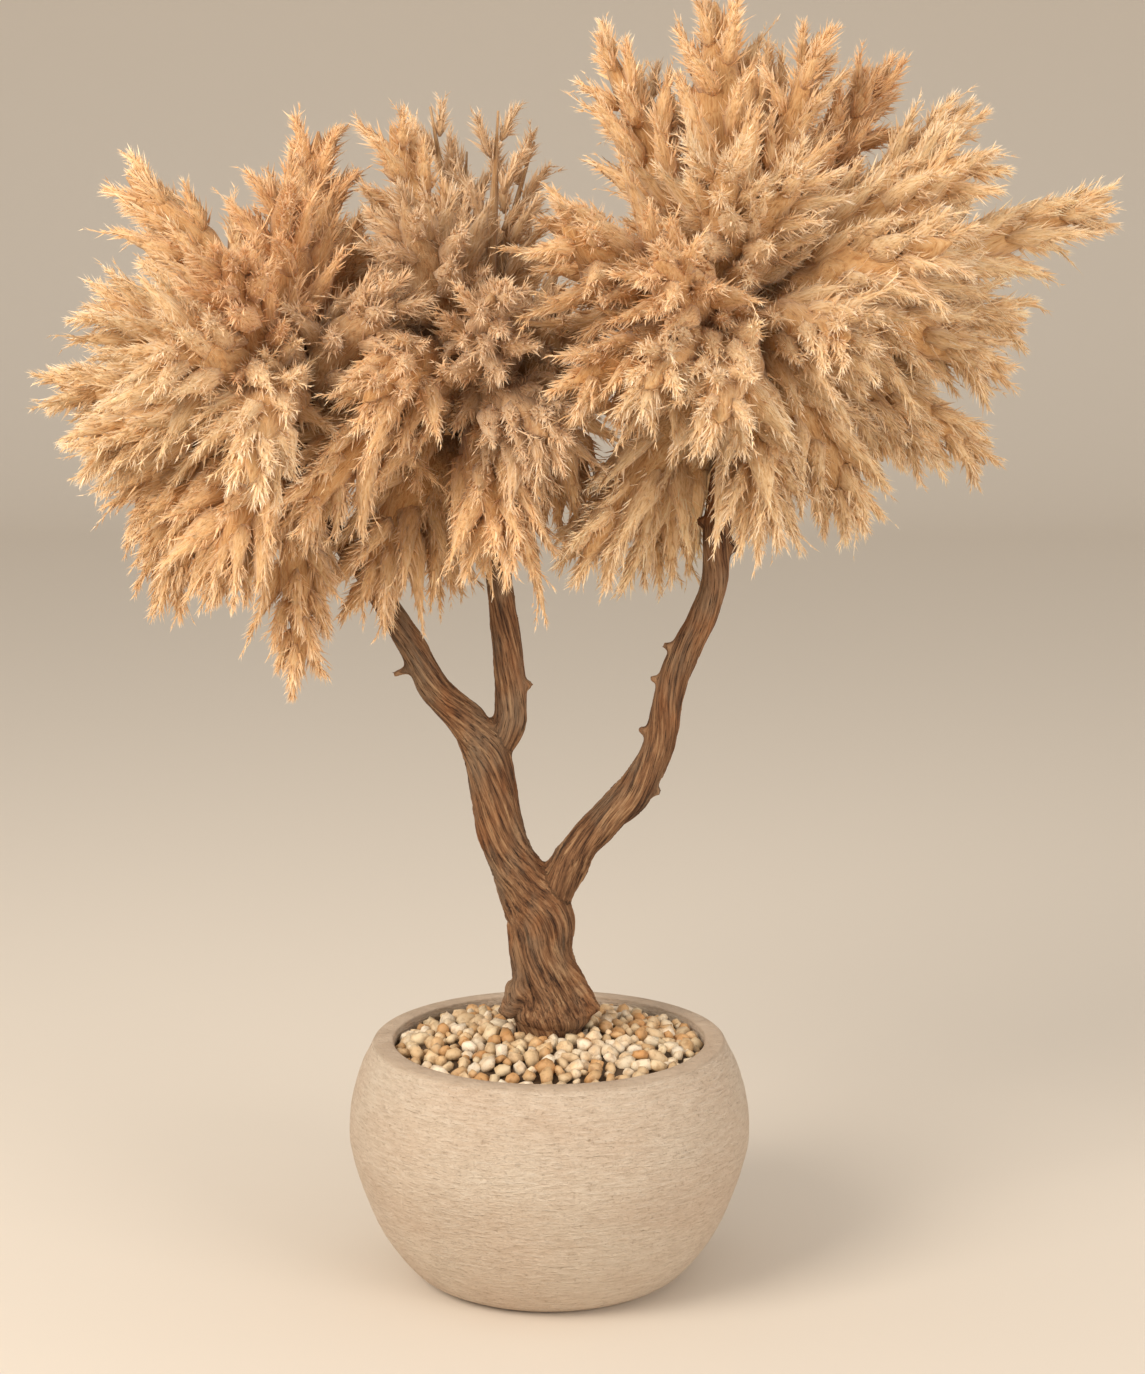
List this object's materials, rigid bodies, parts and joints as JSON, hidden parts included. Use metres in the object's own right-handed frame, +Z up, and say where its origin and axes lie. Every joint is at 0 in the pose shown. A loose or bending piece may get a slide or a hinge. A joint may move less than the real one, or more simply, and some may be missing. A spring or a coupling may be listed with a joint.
{
  "type": "pampas grass tree in a pot",
  "caption": "Dried pampas grass plumes on three branches of a forked wooden trunk that stands in a gravel-topped round stoneware pot.",
  "frame": {"origin": "centre of the pot's flat base, on the floor", "axes": "+Z up, the front as pictured faces -Y, +X is the side of the taller branch"},
  "size_m": [1.0643, 0.6581, 1.3],
  "materials": {
    "stoneware": "matte, brushed",
    "filling": "matte",
    "pebbles": "matte",
    "wood": "raw bark",
    "foam": "matte",
    "plume": "matte, fluffy"
  },
  "bodies": {
    "root": {"fill": "filling", "foam_left": "foam", "foam_middle": "foam", "foam_right": "foam", "gravel": "pebbles", "plume_BL1": "plume", "plume_BL2": "plume", "plume_BM1": "plume", "plume_BM2": "plume", "plume_BR1": "plume", "plume_BR2": "plume", "plume_BR3": "plume", "plume_BR4": "plume", "plume_L1": "plume", "plume_L10": "plume", "plume_L11": "plume", "plume_L12": "plume", "plume_L13": "plume", "plume_L14": "plume", "plume_L2": "plume", "plume_L3": "plume", "plume_L4": "plume", "plume_L5": "plume", "plume_L6": "plume", "plume_L7": "plume", "plume_L8": "plume", "plume_L9": "plume", "plume_M1": "plume", "plume_M11": "plume", "plume_M12": "plume", "plume_M2": "plume", "plume_M3": "plume", "plume_M4": "plume", "plume_M5": "plume", "plume_M6": "plume", "plume_M7": "plume", "plume_M8": "plume", "plume_M9": "plume", "plume_R1": "plume", "plume_R10": "plume", "plume_R11": "plume", "plume_R12": "plume", "plume_R13": "plume", "plume_R14": "plume", "plume_R15": "plume", "plume_R16": "plume", "plume_R18": "plume", "plume_R19": "plume", "plume_R21": "plume", "plume_R22": "plume", "plume_R23": "plume", "plume_R26": "plume", "plume_R3": "plume", "plume_R5": "plume", "plume_R6": "plume", "plume_R7": "plume", "plume_R8": "plume", "plume_R9": "plume", "pot": "stoneware", "trunk": "wood"}
  },
  "joints": []
}
